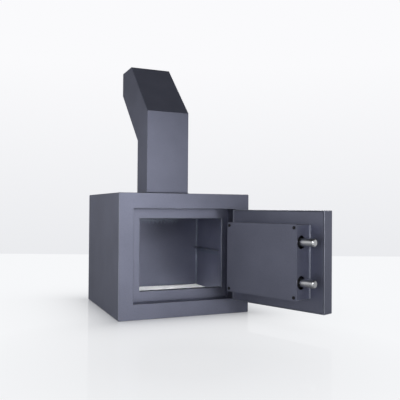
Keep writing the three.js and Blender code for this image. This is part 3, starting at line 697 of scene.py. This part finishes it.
class SAFE_OT_chute(bpy.types.Operator):
    """Rounds and paints the gooseneck chute, its flange, the tail under the roof and the comb."""

    bl_idname = "safe.chute"
    bl_label = "Chute"

    def execute(self, context):
        cut = context.scene.safe_paint.cut_radius
        for part in ("front_sheet", "back_sheet", "side_left", "side_right", "flange"):
            softened(f"chute_{part}", "powder_coat_outside", cut)
        dress("powder_coat_inside", "chute_tail")
        softened("anti_fishing_comb", "powder_coat_inside", cut, all_edges=False)
        return {"FINISHED"}


class SAFE_OT_fittings(bpy.types.Operator):
    """Finishes the floor, ledges, plugs and small fasteners of the cabinet."""

    bl_idname = "safe.fittings"
    bl_label = "Cabinet fittings"

    def execute(self, context):
        cut = context.scene.safe_paint.cut_radius
        dress("powder_coat_inside", "floor_tray")
        for side in ("left", "right"):
            softened(f"shelf_ledge_{side}", "powder_coat_inside", cut)
        softened("floor_liner", "pale_polypropylene", cut)
        dress("black_abs", "anchor_plug_1", "anchor_plug_2")
        dress("bright_zinc_plate", *[f"comb_rivet_{at}" for at in (1, 2, 3)])
        dress("bright_zinc_plate", *[f"chute_nut_{at}" for at in (1, 2, 3, 4)])
        return {"FINISHED"}


class SAFE_OT_hinges(bpy.types.Operator):
    """Finishes the two barrel hinges."""

    bl_idname = "safe.hinges"
    bl_label = "Hinges"

    def execute(self, context):
        cut = context.scene.safe_paint.cut_radius
        for end in ("lower", "upper"):
            for part in ("base", "strap"):
                softened(f"hinge_{part}_{end}", "powder_coat_outside", cut)
            softened(f"hinge_pin_{end}", "ground_steel_bar", context.scene.safe_fittings.pin_radius)
            dress("ground_steel_bar", f"hinge_washer_{end}")
        return {"FINISHED"}


class SAFE_OT_door(bpy.types.Operator):
    """Rounds and paints the door leaf and its lock cover."""

    bl_idname = "safe.door"
    bl_label = "Door and lock cover"

    def execute(self, context):
        paint = context.scene.safe_paint
        softened("door_leaf", "powder_coat_outside", paint.fold_radius, folded=True, all_edges=False)
        dress("powder_coat_outside", "leaf_back_plate")
        softened(
            "lock_cover", "powder_coat_outside", paint.case_radius, folded=True, all_edges=False, clamp=False
        )
        for at in (1, 2, 3, 4):
            dress("bright_zinc_plate", f"cover_post_{at}")
            softened(f"cover_screw_{at}", "black_oxide_steel", context.scene.safe_fittings.screw_radius)
        return {"FINISHED"}


class SAFE_OT_boltwork(bpy.types.Operator):
    """Finishes the locking bolts and what drives them."""

    bl_idname = "safe.boltwork"
    bl_label = "Boltwork"

    def execute(self, context):
        for end in ("lower", "upper"):
            softened(f"locking_bolt_{end}", "ground_steel_bar", context.scene.safe_fittings.bolt_radius)
            dress("bright_zinc_plate", f"bolt_screw_{end}")
        dress("black_oxide_steel", "bolt_guide")
        dress("bright_zinc_plate", "bolt_bar", "drive_crank", "spindle_clip", "knob_spindle", "spindle_bush")
        return {"FINISHED"}


class SAFE_OT_knob(bpy.types.Operator):
    """Finishes the turning knob and the key lock."""

    bl_idname = "safe.knob"
    bl_label = "Knob and key lock"

    def execute(self, context):
        fittings = context.scene.safe_fittings
        softened("turn_knob", "black_abs", fittings.knob_radius)
        for name in ("knob_rose", "keyhole_escutcheon"):
            softened(name, "bright_zinc_plate", fittings.plate_radius)
        dress("bright_zinc_plate", "lock_body")
        dress("ground_steel_bar", "lock_bolt", "key_hub")
        return {"FINISHED"}


def lamp(name, power, place, target, size, spread=180.0, mirrored=True):
    """A soft lamp aimed at a target, unseen by the camera, whose light spreads over that many degrees."""
    light = bpy.data.lights.new(name, "AREA")
    light.shape = "RECTANGLE"
    light.size, light.size_y = size
    light.energy = power
    light.spread = math.radians(spread)
    holder = bpy.data.objects.new(name, light)
    holder.visible_camera = False
    holder.visible_glossy = mirrored
    holder.location = place
    holder.rotation_euler = (Vector(target) - Vector(place)).to_track_quat("-Z", "Y").to_euler()
    bpy.context.scene.collection.objects.link(holder)
    return holder


def keep_off(holder, surface):
    """Leaves a surface out of what a lamp lights."""
    spared = bpy.data.collections.new(f"not_lit_by_{holder.name}")
    spared.objects.link(surface)
    spared.collection_objects[0].light_linking.link_state = "EXCLUDE"
    holder.light_linking.receiver_collection = spared


def studio_camera(stage):
    """The photograph's camera, from its place, yaw, pitch and roll."""
    yaw, pitch, roll = stage.camera_yaw, stage.camera_pitch, stage.camera_roll
    forward = Vector((math.sin(yaw) * math.cos(pitch), math.cos(yaw) * math.cos(pitch), math.sin(pitch)))
    right = Vector((math.cos(yaw), -math.sin(yaw), 0.0))
    up = right.cross(forward)
    rolled_right = right * math.cos(roll) + up * math.sin(roll)
    rolled_up = up * math.cos(roll) - right * math.sin(roll)
    data = bpy.data.cameras.new("photo_camera")
    data.lens = stage.focal_length
    data.sensor_width = SENSOR_MILLIMETRES
    camera = bpy.data.objects.new("photo_camera", data)
    turn = Matrix((rolled_right, rolled_up, -forward)).transposed()
    camera.matrix_world = Matrix.Translation(Vector(stage.camera_place)) @ turn.to_4x4()
    bpy.context.scene.collection.objects.link(camera)
    bpy.context.scene.camera = camera


def studio_world(stage):
    """White backdrop for the eye, a dimmer cove for reflections and an even dim light for the rest."""
    world = bpy.data.worlds.new("studio")
    bpy.context.scene.world = world
    world.use_nodes = True
    tree = world.node_tree
    tree.nodes.clear()
    seen = add_node(tree, "ShaderNodeLightPath").outputs
    mirrored = calculate(tree, "MAXIMUM", seen["Is Glossy Ray"], seen["Is Transmission Ray"])
    around = add_node(tree, "ShaderNodeTexCoord").outputs["Generated"]
    direction = add_node(tree, "ShaderNodeSeparateXYZ", {"Vector": around}).outputs
    # For the eye, the backdrop pales upwards from a little below the horizon
    height = ramp(tree, direction["Z"], start=-0.09, end=0.25)
    backdrop = blend(tree, height, linear(stage.backdrop_colour), linear(stage.high_backdrop_colour))
    # In reflections, the cove dims overhead. Its wall behind the table shines, and dims towards the left
    overhead = ramp(tree, direction["Z"], start=0.3, end=0.6, low=1.0, high=0.08)
    wall = ramp(tree, direction["X"], start=-0.15, end=0.1, low=0.08, high=0.8)
    behind = ramp(tree, direction["Y"], start=0.3, end=0.8, low=0.03, high=wall)
    cove = calculate(tree, "MULTIPLY", overhead, behind)
    white = add_node(tree, "ShaderNodeBackground", {"Color": backdrop, "Strength": 1.0})
    reflected = add_node(tree, "ShaderNodeBackground", {"Color": linear(stage.cove_colour), "Strength": cove})
    dim = add_node(
        tree, "ShaderNodeBackground", {"Color": linear(stage.ambient_colour), "Strength": stage.ambient}
    )
    lit = mix_shaders(tree, mirrored, dim.outputs["Background"], reflected.outputs["Background"])
    mixed = mix_shaders(tree, seen["Is Camera Ray"], lit, white.outputs["Background"])
    add_node(tree, "ShaderNodeOutputWorld", {"Surface": mixed})


def white_acrylic(stage):
    """Glossy acrylic: reads as plain white, with the safe's soft mirror image and a shade at its foot."""
    material, tree, place = new_material("white_acrylic")
    seen = add_node(tree, "ShaderNodeLightPath").outputs
    # The further from the mirror image of the safe, the plainer the white
    away = vector_step(tree, "DISTANCE", place, tuple(stage.mirrored_spot))["Value"]
    plain = ramp(tree, away, start=0.1, end=0.5, low=stage.floor_glow, high=0.97)
    # The shade fades with the distance from the rectangle that the cabinet stands on
    body_low, body_high = corners("body_wrap")
    front = corners("front_frame")[0].y
    foot_centre = ((body_low.x + body_high.x) / 2, (front + body_high.y) / 2, 0.0)
    foot_half = ((body_high.x - body_low.x) / 2, (body_high.y - front) / 2, 0.0)
    aside = vector_step(tree, "SUBTRACT", place, foot_centre)["Vector"]
    apart = vector_step(tree, "ABSOLUTE", aside)["Vector"]
    beyond = vector_step(tree, "SUBTRACT", apart, foot_half)["Vector"]
    outside = vector_step(tree, "MAXIMUM", beyond, (0.0, 0.0, 0.0))["Vector"]
    gap = vector_step(tree, "LENGTH", outside)["Value"]
    fade = calculate(tree, "EXPONENT", calculate(tree, "MULTIPLY", gap, -1 / stage.contact_reach))
    unshaded = calculate(tree, "MULTIPLY_ADD", fade, -stage.contact_shade, 1.0)
    white = calculate(tree, "MULTIPLY", plain, unshaded)
    share = calculate(tree, "MULTIPLY", seen["Is Camera Ray"], white)
    # The safe mirrors a dimmer table
    colour = linear(stage.floor_colour)
    shade = blend(tree, seen["Is Glossy Ray"], colour, scaled(colour, stage.floor_mirrored))
    acrylic = add_node(tree, "ShaderNodeBsdfPrincipled", {"Base Color": shade, "Roughness": 0.05, "IOR": 1.4})
    glow = add_node(tree, "ShaderNodeEmission", {"Color": colour, "Strength": 1.0})
    shader = mix_shaders(tree, share, acrylic.outputs["BSDF"], glow.outputs["Emission"])
    add_node(tree, "ShaderNodeOutputMaterial", {"Surface": shader})
    return material


def studio_floor(stage):
    """A table top that ends square to the camera's view."""
    turn = Matrix.Rotation(-stage.camera_yaw, 4, "Z")
    view = turn @ Vector((0.0, 1.0, 0.0))
    start = Vector((stage.camera_place[0], stage.camera_place[1], 0.0))
    centre = start + view * (stage.floor_end - stage.floor_size)
    form = bmesh.new()
    bmesh.ops.create_grid(
        form, x_segments=2, y_segments=2, size=stage.floor_size, matrix=Matrix.Translation(centre) @ turn
    )
    mesh = bpy.data.meshes.new("studio_floor")
    form.to_mesh(mesh)
    form.free()
    mesh.materials.append(white_acrylic(stage))
    floor = bpy.data.objects.new("studio_floor", mesh)
    bpy.context.scene.collection.objects.link(floor)
    return floor


class SAFE_OT_stage(bpy.types.Operator):
    """Sets up the floor, backdrop, lamps and camera."""

    bl_idname = "safe.stage"
    bl_label = "Stage"

    def execute(self, context):
        stage = context.scene.safe_stage
        floor = studio_floor(stage)
        studio_world(stage)
        self.lamps_around(stage, floor)
        self.lamps_inside(stage)
        studio_camera(stage)
        context.scene.view_settings.view_transform = "Standard"
        return {"FINISHED"}

    def lamps_around(self, stage, floor):
        """The softboxes and white walls round the safe."""
        middle = (0.0, 0.0, 0.3)
        lamp("key_lamp", stage.key_power, place=(0.5, -2.5, 0.35), target=middle, size=(0.8, 0.5))
        lamp("high_lamp", stage.high_power, place=(0.0, -2.5, 0.9), target=middle, size=(0.5, 0.5))
        lamp(
            "front_left_lamp", stage.front_left_power, place=(-0.9, -2.3, 0.4), target=middle, size=(0.6, 0.6)
        )
        lamp(
            "side_lamp", stage.side_power, place=(-2.2, 0.4, 0.95), target=(0.1, -0.3, 0.5), size=(1.8, 1.9)
        )
        lamp("rear_lamp", stage.rear_power, place=(-1.8, 1.4, 0.5), target=middle, size=(0.8, 0.8))
        lamp("right_lamp", stage.right_power, place=(2.4, -0.9, 0.5), target=middle, size=(1.4, 1.4))
        # The back lamp lights the sides that the photograph doesn't show, and leaves the table as it is
        back = lamp("back_lamp", stage.back_power, place=(1.5, 2.1, 0.9), target=middle, size=(1.4, 1.4))
        keep_off(back, floor)
        lamp(
            "edge_lamp", stage.edge_power, place=(-1.7, -1.8, 0.35), target=(0.15, -0.3, 0.17),
            size=(0.4, 1.0)
        )
        lamp(
            "top_lamp", stage.top_power, place=(-0.2, 0.2, 3.0), target=middle, size=(2.6, 2.6),
            mirrored=False
        )

    def lamps_inside(self, stage):
        """Small lamps for the light that the photograph shows inside the cabinet."""
        lamp(
            "comb_lamp", stage.comb_power, place=(-0.004, 0.055, 0.195), target=(-0.004, 0.071, 0.256),
            size=(0.15, 0.01), spread=50
        )
        lamp(
            "corner_lamp", stage.corner_power, place=(-0.17, -0.02, 0.15), target=(0.188, 0.186, 0.15),
            size=(0.02, 0.2)
        )
        lamp(
            "inside_lamp", stage.inside_power, place=(0.04, -0.1, 0.26), target=(0.06, 0.12, 0.03),
            size=(0.2, 0.03), spread=85, mirrored=False
        )
        lamp(
            "liner_lamp", stage.liner_power, place=(0.07, 0.13, 0.14), target=(0.07, 0.13, 0.0),
            size=(0.24, 0.05), spread=80, mirrored=False
        )


class SAFE_PT_panel(bpy.types.Panel):
    """Lists the settings and the steps that dress the safe."""

    bl_idname = "SAFE_PT_panel"
    bl_label = "Gooseneck Safe"
    bl_space_type = "VIEW_3D"
    bl_region_type = "UI"
    bl_category = "Safe"

    def draw(self, context):
        for settings in (context.scene.safe_paint, context.scene.safe_fittings, context.scene.safe_stage):
            for name in settings.__annotations__:
                self.layout.prop(settings, name)
        for operator in OPERATORS:
            self.layout.operator(operator.bl_idname)


OPERATORS = (
    SAFE_OT_cabinet, SAFE_OT_welds, SAFE_OT_chute, SAFE_OT_fittings, SAFE_OT_hinges, SAFE_OT_door,
    SAFE_OT_boltwork, SAFE_OT_knob, SAFE_OT_stage,
)
SETTINGS = {"safe_paint": PaintSettings, "safe_fittings": FittingSettings, "safe_stage": StageSettings}


def register():
    for cls in (*SETTINGS.values(), *OPERATORS, SAFE_PT_panel):
        bpy.utils.register_class(cls)
    for name, cls in SETTINGS.items():
        setattr(bpy.types.Scene, name, bpy.props.PointerProperty(type=cls))


def unregister():
    for name in SETTINGS:
        delattr(bpy.types.Scene, name)
    for cls in reversed((*SETTINGS.values(), *OPERATORS, SAFE_PT_panel)):
        bpy.utils.unregister_class(cls)


def main():
    register()
    for operator in OPERATORS:
        group, name = operator.bl_idname.split(".")
        getattr(getattr(bpy.ops, group), name)()


if __name__ == "__main__":
    main()
